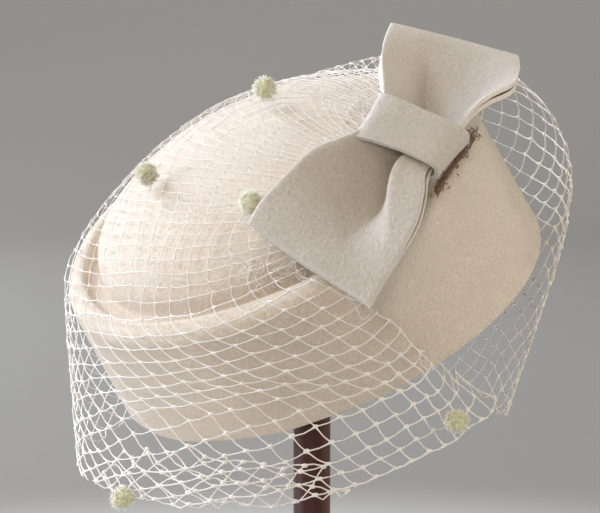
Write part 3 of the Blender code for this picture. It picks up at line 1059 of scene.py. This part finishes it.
def drop_line(row, top, steps, turned_up):
    """The veil's way from the rim down to its hem, and up again inside where the hem is turned up."""
    outwards = Vector((math.cos(row["hem_turn"]), math.sin(row["hem_turn"]), 0))
    hem = outwards * row["hem_reach"] + Vector((0, 0, row["hem_height"]))
    points = []
    for step in range(1, steps + 1):
        t = step / steps
        bulge = outwards * row["belly"] * math.sin(math.pi * t ** BELLY_PLACE)
        droop = Vector((0, 0, row["sag"])) * math.sin(math.pi * t ** SAG_PLACE)
        points.append(top.lerp(hem, t) + bulge - droop)
    bend, lean_in = 0.0016, 0.25
    for turn in (60, 120, 180):
        angle = math.radians(turn)
        inwards = outwards * bend * (math.cos(angle) - 1)
        points.append(hem + inwards - Vector((0, 0, bend * math.sin(angle))))
    for share in (0.34, 0.67, 1.0):
        lean = outwards * (-2 * bend - lean_in * turned_up * share)
        points.append(hem + lean + Vector((0, 0, turned_up * share)))
    return points


def turned_up_here(turn, most):
    """How far the hem is turned up at this turn about the post: on the near left side only, a little wavy."""
    middle, half = math.radians(-119), math.radians(41)
    side = min(abs(turn - middle) / half, 1.0)
    return most * (1 - side ** 3) * (0.9 + 0.1 * math.sin(turn * 11))


def slack(turn, share):
    """How much more net lies below this place than its height says, where the net is pushed together."""
    side = (turn - math.radians(RIM_SLACK_TURN)) / math.radians(RIM_SLACK_SPREAD)
    near = math.exp(-side * side)
    below_rim = max(0.0, 1 - share / RIM_SLACK_SHARE)
    above_hem = max(0.0, (share - HEM_SLACK_SHARE) / (1 - HEM_SLACK_SHARE))
    return near * (RIM_SLACK * below_rim - HEM_SLACK * above_hem)


def drape(felt, veil):
    """The veil as hung and as laid out flat: rows of points in columns, and the flat place of each.

    The flat place is the way round the post, and the height, which goes on over the rim as length along the
    crown and past the hem as length turned up. A few spare columns lie beyond each free edge.
    """
    pose = hat_pose()
    rows = [in_metres(VEIL_COLUMNS, row, ("rim_turn", "hem_turn")) for row in VEIL_TABLE]
    strips, fine, crown_steps, drop_steps = 17, 9, 15, 22
    spare = 4
    reach, crown_gap, hem_wander = 0.097, 0.0034, 0.0022
    hung, flat = [], []
    for column in range(-spare, strips * fine + 1 + spare):
        place = column / fine
        row = smooth_row(rows, (len(rows) - 1) * place / strips)
        row["hem_height"] += noise.noise(Vector((place * 1.7, 0, 4))) * hem_wander
        crown = crown_line(felt, row, pose, crown_gap, crown_steps)
        turned_up = turned_up_here(row["hem_turn"], veil.turned_up)
        drop = drop_line(row, crown[-1], drop_steps, turned_up)
        over = crown[-1]
        spots = []
        for step, point in enumerate([over] + drop[:drop_steps]):
            turn = math.atan2(point.y, point.x)
            turn += 2 * math.pi * round((row["hem_turn"] - turn) / (2 * math.pi))
            spots.append((reach * turn, point.z + slack(turn, step / drop_steps)))
        back, level = over, spots[0][1]
        before = []
        for point in reversed(crown[:-1]):
            level += (point - back).length
            back = point
            before.append((spots[0][0], level))
        back, level = drop[drop_steps - 1], spots[-1][1]
        after = []
        for point in drop[drop_steps:]:
            level -= (point - back).length
            back = point
            after.append((spots[-1][0], level))
        hung.append(crown + drop)
        flat.append([Vector((x, z, 0)) for x, z in before[::-1] + spots + after])
    return hung, flat


class DrapedSheet:
    """Finds a flat place's point and outward side on the hung veil."""

    def __init__(self, hung, flat):
        self.hung, self.flat, self.corners = [], [], []
        columns, rows = len(hung), len(hung[0])
        for column in range(columns):
            self.hung += hung[column]
            self.flat += flat[column]
        for column in range(columns - 1):
            for row in range(rows - 1):
                a = column * rows + row
                b = a + rows
                self.corners += [(a, b, b + 1), (a, b + 1, a + 1)]
        self.tree = BVHTree.FromPolygons([tuple(p) for p in self.flat], self.corners)

    def find(self, x, z):
        """The point and its outward side, or nothing where the sheet doesn't reach."""
        spot, _, index, _ = self.tree.ray_cast(Vector((x, z, 1)), Vector((0, 0, -1)))
        if index is None:
            return None
        corners = self.corners[index]
        flat = [self.flat[k] for k in corners]
        hung = [self.hung[k] for k in corners]
        point = barycentric_transform(spot, *flat, *hung)
        out = (hung[1] - hung[0]).cross(hung[2] - hung[0])
        if out.length < 1e-12:
            return None
        return point, out.normalized()


class ThreadWork:
    """Gathers the points and faces of many threads and knots into one mesh."""

    def __init__(self):
        self.points, self.faces = [], []
        pattern = bmesh.new()
        bmesh.ops.create_icosphere(pattern, subdivisions=1, radius=1)
        pattern.verts.index_update()
        self.knot_points = [point.co.copy() for point in pattern.verts]
        self.knot_faces = [tuple(point.index for point in face.verts) for face in pattern.faces]
        pattern.free()

    def thread(self, line, outs, radii, sides=4):
        """One closed thread along a line of points."""
        start = len(self.points)
        for k, point in enumerate(line):
            ahead = (line[min(k + 1, len(line) - 1)] - line[max(k - 1, 0)]).normalized()
            across = ahead.cross(outs[k]).normalized()
            up = across.cross(ahead)
            for side in range(sides):
                turn = 2 * math.pi * (side + 0.5) / sides
                self.points.append(point + (across * math.cos(turn) + up * math.sin(turn)) * radii[k])
        for ring in range(start, start + (len(line) - 1) * sides, sides):
            for side in range(sides):
                other = (side + 1) % sides
                self.faces.append((ring + side, ring + sides + side, ring + sides + other, ring + other))
        last = start + (len(line) - 1) * sides
        self.faces.append(tuple(range(start, start + sides)))
        self.faces.append(tuple(range(last + sides - 1, last - 1, -1)))

    def knot(self, place, out, along, size):
        """One small pulled-tight knot; size is its half length, half width and half depth."""
        across = out.cross(along).normalized()
        level = across.cross(out).normalized()
        start = len(self.points)
        for co in self.knot_points:
            spot = place + level * co.x * size[0]
            self.points.append(spot + across * co.y * size[1] + out * co.z * size[2])
        for face in self.knot_faces:
            self.faces.append(tuple(start + k for k in face))

    def finish(self, name):
        """The mesh as an object of its own."""
        data = bpy.data.meshes.new(name)
        data.from_pydata(self.points, [], self.faces)
        made = add_object(data)
        aim_faces(made)
        data.shade_smooth()
        return made


def drawn_thin(place, felt, unpose):
    """How thick the thread is here: drawn thinner over the crown, behind the hat and high on the wall."""
    over_crown, behind, high_on_wall, growth = 0.50, 0.62, 0.74, 0.31
    back_start, full_depth = 0.015, 0.040
    local = unpose @ place
    reach = math.hypot(local.x / felt.rim_long, local.y / felt.rim_short)
    if reach < 1.0 and local.z > 0:
        return over_crown
    if place.y > back_start:
        return behind
    below = min(max(-local.z / full_depth, 0.0), 1.0)
    return high_on_wall + growth * below


def on_free_edge(found, first, second):
    """Whether the thread between two knots has no full cell on one of its sides."""
    across = (first[1] != second[1], first[0] != second[0])
    for way in (1, -1):
        beside = [(i + way * across[0], j + way * across[1]) for i, j in (first, second)]
        if not all(key in found for key in beside):
            return True
    return False


def loose_end(rng, start, out, reach, curl):
    """The line of one loose end of thread; curl is how many times it winds round, at most."""
    side = Matrix.Rotation(rng.uniform(0, 2 * math.pi), 3, out) @ out.orthogonal().normalized()
    other = out.cross(side)
    turns, wide = curl * rng.uniform(0.4, 1.0), reach * rng.uniform(0.22, 0.4)
    steps = 10
    line = []
    for step in range(steps + 1):
        t = step / steps
        turn = 2 * math.pi * turns * t
        round_part = side * math.sin(turn) + other * (1 - math.cos(turn))
        rise = reach * 0.7 * t * (1.4 - t)
        aside = reach * 0.5 * t
        line.append(start + out * rise + side * aside + round_part * wide)
    return line


def away_from_hat(place):
    """The direction from the rim's middle out to this place."""
    return (place - RIM_MIDDLE).normalized()


def stray_ends(work, rng, place, count, reach, curl, radius):
    """A few loose ends of thread round one place; the place and their reach are in millimetres."""
    spread, thin, tip = 0.0012, 0.7, 0.3
    start = millimetres(Vector(place))
    out = away_from_hat(start)
    for _ in range(count):
        foot = start + scatter(rng) * spread
        line = loose_end(rng, foot, out, millimetres(reach) * rng.uniform(0.6, 1.2), curl)
        work.thread(line, [out] * len(line), [radius * thin] * (len(line) - 1) + [radius * tip])


def shade_seam_threads(work, rng, shade_threads, radius):
    """The brown seam at the band's end, painted shade for the crevice there: loose ends all along it,
    and the dark threads that run its length.
    """
    spread, unevenness, thin = 0.0007, 0.0004, 0.85
    for *place, reach, curl in SEAM:
        stray_ends(work, rng, place, SEAM_ENDS, reach, curl, radius)
    seam = [millimetres(Vector(row[:3])) for row in SEAM]
    outs = [away_from_hat(place) for place in seam]
    for _ in range(shade_threads):
        shift = scatter(rng) * spread
        line = [place + shift + scatter(rng) * unevenness for place in seam]
        work.thread(line, outs, [radius * thin] * len(line))


def crumpled(rng, found, most):
    """Slack threads between knots near the free edge under the bow, where the net is pulled together."""
    leftmost, lowest = 0.022, 0.140
    free = []
    for (i, j), (_, point, _) in found.items():
        near = point.x > leftmost and point.y < 0.0 and point.z > lowest
        if near and not ((i + 1, j + 1) in found and (i, j + 1) in found):
            free.append((i, j))
    steps = 12
    lines = []
    for key in rng.choices(sorted(free), k=most):
        end = (key[0] + rng.choice((-2, -1, 1, 2)), key[1] + rng.choice((-2, -1, 0)))
        if end not in found:
            continue
        _, first, out = found[key]
        second = found[end][1]
        across = out.cross(second - first).normalized()
        droop = rng.uniform(0.001, 0.005)
        puff = rng.uniform(0.0005, 0.003)
        wave = rng.uniform(-0.0022, 0.0022)
        line = []
        for step in range(steps + 1):
            t = step / steps
            bow = math.sin(math.pi * t)
            kink = across * wave * math.sin(3 * math.pi * t)
            line.append(first.lerp(second, t) + out * puff * bow + kink - Vector((0, 0, droop * bow)))
        lines.append((line, out))
    return lines


def uneven(spot):
    """Where a knot really is on the flat net: the cells wander a little from the even pattern."""
    broad_size, broad_shift = 0.030, 0.0028
    close_size, close_shift = 0.008, 0.0016
    broad = Vector((spot.x, spot.y, 0)) * per_metre(broad_size)
    close = Vector((spot.x, spot.y, 0)) * per_metre(close_size)
    shift = Vector((noise.noise(broad), noise.noise(broad + Vector((9, 4, 2))))) * broad_shift
    shift += Vector((noise.noise(close), noise.noise(close + Vector((3, 8, 6))))) * close_shift
    return spot + shift


def net_lattice(sheet, veil):
    """The knots of the net that lie on the sheet, by their place along the two sets of threads."""
    down = Vector((math.cos(math.radians(THREADS_DOWN)), math.sin(math.radians(THREADS_DOWN)))) * veil.mesh
    along = Vector((math.cos(math.radians(THREADS_UP)), math.sin(math.radians(THREADS_UP)))) * veil.mesh
    turn = Matrix(((down.x, along.x), (down.y, along.y))).inverted()
    spots = [turn @ (Vector((p.x, p.y)) - NET_ORIGIN) for p in sheet.flat]
    found = {}
    for i in range(math.floor(min(s.x for s in spots)), math.ceil(max(s.x for s in spots)) + 1):
        for j in range(math.floor(min(s.y for s in spots)), math.ceil(max(s.y for s in spots)) + 1):
            spot = uneven(NET_ORIGIN + down * i + along * j)
            held = sheet.find(spot.x, spot.y)
            if held:
                found[i, j] = (spot, *held)
    return found


def without_loose_ends(found):
    """The knots that hold at least two threads."""
    while True:
        loose = []
        for i, j in found:
            held = sum(key in found for key in ((i + 1, j), (i - 1, j), (i, j + 1), (i, j - 1)))
            if held < 2:
                loose.append((i, j))
        if not loose:
            return found
        for key in loose:
            del found[key]


def net_threads(work, rng, found, sheet, felt, veil):
    """The threads between neighbouring knots: each swells towards its knots, sags a little and stands off."""
    shares = (0.0, 0.16, 0.5, 0.84, 1.0)
    swell = (2.3, 1.15, 0.95, 1.15, 2.3)
    most_sag, most_stand_off, free_edge = 0.0009, 0.0006, 1.25
    unpose = hat_pose().inverted()
    for (i, j), (spot, point, _) in found.items():
        for key in ((i + 1, j), (i, j + 1)):
            if key not in found:
                continue
            other = found[key][0]
            sag = rng.uniform(0.2, 1.0) * most_sag
            stand_off = rng.uniform(-0.3, 1.0) * most_stand_off
            held = []
            for share in shares:
                flat_place = spot.lerp(other, share)
                flat_place.y -= sag * math.sin(math.pi * share)
                held.append(sheet.find(*flat_place))
            if None in held:
                continue
            line = []
            for share, (place, side) in zip(shares, held):
                line.append(place + side * stand_off * math.sin(math.pi * share))
            thick = veil.thread / 2 * rng.uniform(0.85, 1.15) * drawn_thin(point, felt, unpose)
            if on_free_edge(found, (i, j), key):
                thick *= free_edge
            work.thread(line, [side for _, side in held], [thick * s for s in swell])


def net_knots(work, rng, found, felt, veil):
    """The knots, each drawn out along one of its threads."""
    unpose = hat_pose().inverted()
    for (i, j), (_, point, out) in found.items():
        beside = next(key for key in ((i, j + 1), (i, j - 1), (i + 1, j), (i - 1, j)) if key in found)
        along = (found[beside][1] - point).normalized()
        half = veil.knot / 2 * drawn_thin(point, felt, unpose)
        size = (half * rng.uniform(0.85, 1.3), half * rng.uniform(0.7, 1.05), half * 0.7)
        work.knot(point, out, along, size)


class PILLBOX_OT_veil(bpy.types.Operator):
    """Knot the netting over the crown and round the hat, with its near hem turned up"""

    bl_idname = "pillbox.veil"
    bl_label = "Net Veil"
    bl_options = {"REGISTER", "UNDO"}

    def execute(self, context):
        felt, veil = context.scene.pillbox_felt, context.scene.pillbox_veil
        rng = random.Random(41)
        sheet = DrapedSheet(*drape(felt, veil))
        found = without_loose_ends(net_lattice(sheet, veil))
        fewest_knots = 500
        if len(found) < fewest_knots:
            raise RuntimeError("the veil holds too few knots")
        work = ThreadWork()
        net_threads(work, rng, found, sheet, felt, veil)
        net_knots(work, rng, found, felt, veil)
        radius, slack_thin = veil.thread / 2, 0.85
        for line, out in crumpled(rng, found, SLACK_THREADS):
            work.thread(line, [out] * len(line), [radius * slack_thin] * len(line))
        for *place, count, reach in STRAY_ENDS:
            stray_ends(work, rng, place, count, reach, STRAY_CURL, radius)
        # The brown threads from here on are painted shade: they stand in for the shaded crevice at the band's
        # end
        shade_threads_from = len(work.faces)
        shade_seam_threads(work, rng, veil.shade_threads, radius)
        made = work.finish("net_veil")
        made.data.materials.append(cotton_net("ivory_netting", veil.colour))
        made.data.materials.append(cotton_net("brown_thread_as_shade", veil.shade_thread_colour))
        brown = [int(k >= shade_threads_from) for k in range(len(made.data.polygons))]
        made.data.polygons.foreach_set("material_index", brown)
        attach(made, "root")
        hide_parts("veil_crown", "veil_fall")
        return {"FINISHED"}


def chenille_tuft(radius, seed):
    """A round tuft: a lumpy core and short cut fibres all over it, with the share to the tip as an attribute.

    The fibres are fewer and thicker than the real ones, so that they show.
    """
    core_share, lump_size, lump_depth = 0.62, 0.0022, 0.22
    fibres, fibre_radius, root_share, bend = 520, 0.00016, 0.5, 0.35
    rng = random.Random(seed)
    mesh = bmesh.new()
    tip = mesh.verts.layers.float.new("tip")
    core = bmesh.ops.create_icosphere(mesh, subdivisions=3, radius=radius * core_share)
    for point in core["verts"]:
        point.co *= 1 + lump_depth * noise.noise(point.co * per_metre(lump_size) + Vector((seed, 0, 0)))
        point[tip] = 0.05
    for _ in range(fibres):
        lean = scatter(rng).normalized()
        start = lean * radius * root_share
        length = radius * rng.uniform(0.32, 0.56)
        stray = scatter(rng) * bend
        across = lean.orthogonal().normalized()
        other = lean.cross(across)
        rings = []
        for share, thick in ((0.0, 1.0), (0.55, 0.9), (1.0, 0.45)):
            middle = start + (lean + stray * share).normalized() * length * share
            ring = []
            for side in range(3):
                turn = 2 * math.pi * side / 3
                spread = (across * math.cos(turn) + other * math.sin(turn)) * fibre_radius * thick
                point = mesh.verts.new(middle + spread)
                point[tip] = share
                ring.append(point)
            rings.append(ring)
        for first, second in zip(rings, rings[1:]):
            for side in range(3):
                mesh.faces.new((first[side], first[(side + 1) % 3], second[(side + 1) % 3], second[side]))
        mesh.faces.new(rings[0][::-1])
        mesh.faces.new(rings[-1])
    return mesh


class PILLBOX_OT_dots(bpy.types.Operator):
    """Sew the chenille dots onto the netting"""

    bl_idname = "pillbox.dots"
    bl_label = "Chenille Dots"
    bl_options = {"REGISTER", "UNDO"}

    def execute(self, context):
        veil = context.scene.pillbox_veil
        finish = chenille("pale_green_chenille", veil.dot_colour)
        for number in range(1, DOT_COUNT + 1):
            name = f"chenille_dot_{number}"
            low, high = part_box(f"veil_dot_{number}")
            mesh = chenille_tuft(veil.dot, number)
            bmesh.ops.translate(mesh, vec=(low + high) / 2, verts=mesh.verts)
            data = bpy.data.meshes.new(name)
            mesh.to_mesh(data)
            mesh.free()
            data.shade_smooth()
            data.materials.append(finish)
            made = add_object(data)
            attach(made, "root")
            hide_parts(f"veil_dot_{number}")
        return {"FINISHED"}


def corner(reach, height, radius, start, stop, steps):
    """Points of a profile round a corner, about its centre."""
    angles = [math.radians(start + (stop - start) * step / steps) for step in range(steps + 1)]
    return [(reach + radius * math.cos(angle), height + radius * math.sin(angle)) for angle in angles]


def foot_profile(reach, height):
    """A round foot with a slightly broken lower edge and a rounded upper one."""
    broken, rounded = 0.0010, 0.0050
    profile = corner(reach - broken, broken, broken, -90, 0, 3)
    profile += corner(reach - rounded, height - rounded, rounded, 0, 90, 8)
    profile += [(reach * share, height) for share in (0.8, 0.5, 0.25, 0.02)]
    return profile


def post_profile(low, high):
    """The post, flaring in a long curve towards the foot."""
    slim, flare, flare_height, hollowness = 0.0081, 0.0063, 0.060, 2.6
    steps = 18
    profile = []
    for step in range(steps + 1):
        share = step / steps
        profile.append((slim + flare * (1 - share) ** hollowness, low + flare_height * share))
    profile.append((slim, high))
    profile.append((slim * 0.05, high))
    return profile


def top_profile(reach, low, high):
    """The low dome that holds the crown up."""
    broken, edge = 0.0010, 0.0040
    profile = [(reach * share, low) for share in (0.05, 0.5)]
    profile += corner(reach - broken, low + broken, broken, -90, 0, 3)
    steps = 22
    for step in range(steps):
        angle = math.radians(90 * step / steps)
        profile.append((reach * math.cos(angle), low + edge + (high - low - edge) * math.sin(angle)))
    profile.append((reach * 0.01, high))
    return profile


def turned_piece(name, node, profile, sides, finish):
    """Turn one wooden piece from its profile of reach and height, bottom to top."""
    made = ring_shape([(reach, reach, height) for reach, height in profile], sides, closed_foot=True)
    aim_faces(made)
    bpy.ops.object.shade_smooth_by_angle(angle=math.radians(35))
    settle(made, name, finish)
    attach(made, "root")
    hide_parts(node)


class PILLBOX_OT_stand(bpy.types.Operator):
    """Turn the stand's foot, post and top"""

    bl_idname = "pillbox.stand"
    bl_label = "Turned Stand"
    bl_options = {"REGISTER", "UNDO"}

    def execute(self, context):
        stand = context.scene.pillbox_stand
        finish = lacquered_wood("dark_red_wood", stand.colour)
        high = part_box("stand_base")[1]
        turned_piece("turned_foot", "stand_base", foot_profile(high.x, high.z), stand.sides, finish)
        low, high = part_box("stand_post")
        turned_piece("turned_post", "stand_post", post_profile(low.z, high.z), stand.sides, finish)
        low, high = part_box("stand_top")
        turned_piece("turned_top", "stand_top", top_profile(high.x, low.z, high.z), stand.sides, finish)
        return {"FINISHED"}


def soft_light(name, place, target, size, power, colour):
    """One soft box, facing its target."""
    bpy.ops.object.light_add(type="AREA", location=place)
    lamp = bpy.context.object
    lamp.name = name
    lamp.rotation_euler = (target - place).to_track_quat("-Z", "Y").to_euler()
    lamp.data.shape = "DISK"
    lamp.data.size = size
    lamp.data.energy = power
    lamp.data.color = linear(colour)[:3]
    lamp.visible_camera = False


def cove_rows():
    """A round sweep of paper: rows from the top of its wall, round the bend and in over the floor."""
    reach, bend, height, under = 4.0, 1.5, 1.8, -0.0002
    rows = [(reach, reach, height), (reach, reach, under + bend)]
    steps = 20
    for step in range(1, steps + 1):
        angle = math.radians(90 * step / steps)
        ring = reach - bend + bend * math.cos(angle)
        rows.append((ring, ring, under + bend - bend * math.sin(angle)))
    return rows + [(ring, ring, under) for ring in (1.6, 0.8, 0.4, 0.2, 0.05)]


class PILLBOX_OT_stage(bpy.types.Operator):
    """Set up the floor, the backdrop, the light and the camera"""

    bl_idname = "pillbox.stage"
    bl_label = "Stage"
    bl_options = {"REGISTER", "UNDO"}

    def execute(self, context):
        stage = context.scene.pillbox_stage
        floor = ring_shape(cove_rows(), sides=96, closed_foot=False)
        aim_faces(floor, inwards=True)
        bpy.ops.object.shade_smooth()
        paper = matt_paper("background_paper", stage.floor_colour, stage.backdrop_colour)
        settle(floor, "paper_cove", paper)
        for values in LAMPS:
            lamp = dict(zip(LAMP_COLUMNS, values))
            way = pointing(math.radians(lamp["turn"]), math.radians(lamp["height"]))
            place = LAMP_TARGET + way * lamp["distance"]
            power = lamp["power"] * stage.light
            soft_light(lamp["name"], place, LAMP_TARGET, lamp["width"], power, lamp["colour"])
        soft_light("backdrop_wash", WASH_FROM, WASH_ONTO, WASH_WIDTH, stage.wash, WASH_COLOUR)
        world = bpy.data.worlds.new("soft_room")
        world.use_nodes = True
        room = world.node_tree.nodes["Background"]
        set_sockets(world.node_tree, room, {"Color": (1, 1, 1, 1), "Strength": stage.room})
        context.scene.world = world
        bpy.ops.object.camera_add(location=VIEW_FROM, rotation=(VIEW_TILT, 0, 0))
        camera = context.object
        camera.name = "photo_view"
        camera.data.sensor_width = 36.0
        camera.data.sensor_fit = "HORIZONTAL"
        camera.data.lens = VIEW_LENS
        camera.data.clip_start = 0.01
        camera.data.dof.use_dof = False
        context.scene.camera = camera
        context.scene.view_settings.view_transform = "Standard"
        return {"FINISHED"}


class PILLBOX_PT_panel(bpy.types.Panel):
    """Lists the hat's pieces and their settings"""

    bl_idname = "PILLBOX_PT_panel"
    bl_label = "Pillbox Hat"
    bl_space_type = "VIEW_3D"
    bl_region_type = "UI"
    bl_category = "Pillbox Hat"

    def draw(self, context):
        column = self.layout.column()
        for group, operator in PANEL_ROWS:
            column.label(text=operator.bl_label)
            settings = getattr(context.scene, group)
            for name in settings.bl_rna.properties.keys():
                if name not in ("rna_type", "name"):
                    column.prop(settings, name)
            column.operator(operator.bl_idname)


SETTINGS = {
    "pillbox_felt": PillboxFeltSettings,
    "pillbox_bow": PillboxBowSettings,
    "pillbox_veil": PillboxVeilSettings,
    "pillbox_stand": PillboxStandSettings,
    "pillbox_stage": PillboxStageSettings,
}
PANEL_ROWS = (
    ("pillbox_felt", PILLBOX_OT_hat),
    ("pillbox_bow", PILLBOX_OT_bow),
    ("pillbox_veil", PILLBOX_OT_veil),
    ("pillbox_veil", PILLBOX_OT_dots),
    ("pillbox_stand", PILLBOX_OT_stand),
    ("pillbox_stage", PILLBOX_OT_stage),
)
CLASSES = (
    *SETTINGS.values(),
    PILLBOX_OT_hat,
    PILLBOX_OT_bow,
    PILLBOX_OT_veil,
    PILLBOX_OT_dots,
    PILLBOX_OT_stand,
    PILLBOX_OT_stage,
    PILLBOX_PT_panel,
)


def register():
    for made in CLASSES:
        bpy.utils.register_class(made)
    for name, group in SETTINGS.items():
        setattr(bpy.types.Scene, name, PointerProperty(type=group))


def unregister():
    for name in SETTINGS:
        delattr(bpy.types.Scene, name)
    for made in reversed(CLASSES):
        bpy.utils.unregister_class(made)


def main():
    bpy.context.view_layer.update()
    register()
    bpy.ops.pillbox.hat()
    bpy.ops.pillbox.bow()
    bpy.ops.pillbox.veil()
    bpy.ops.pillbox.dots()
    bpy.ops.pillbox.stand()
    bpy.ops.pillbox.stage()


if __name__ == "__main__":
    main()
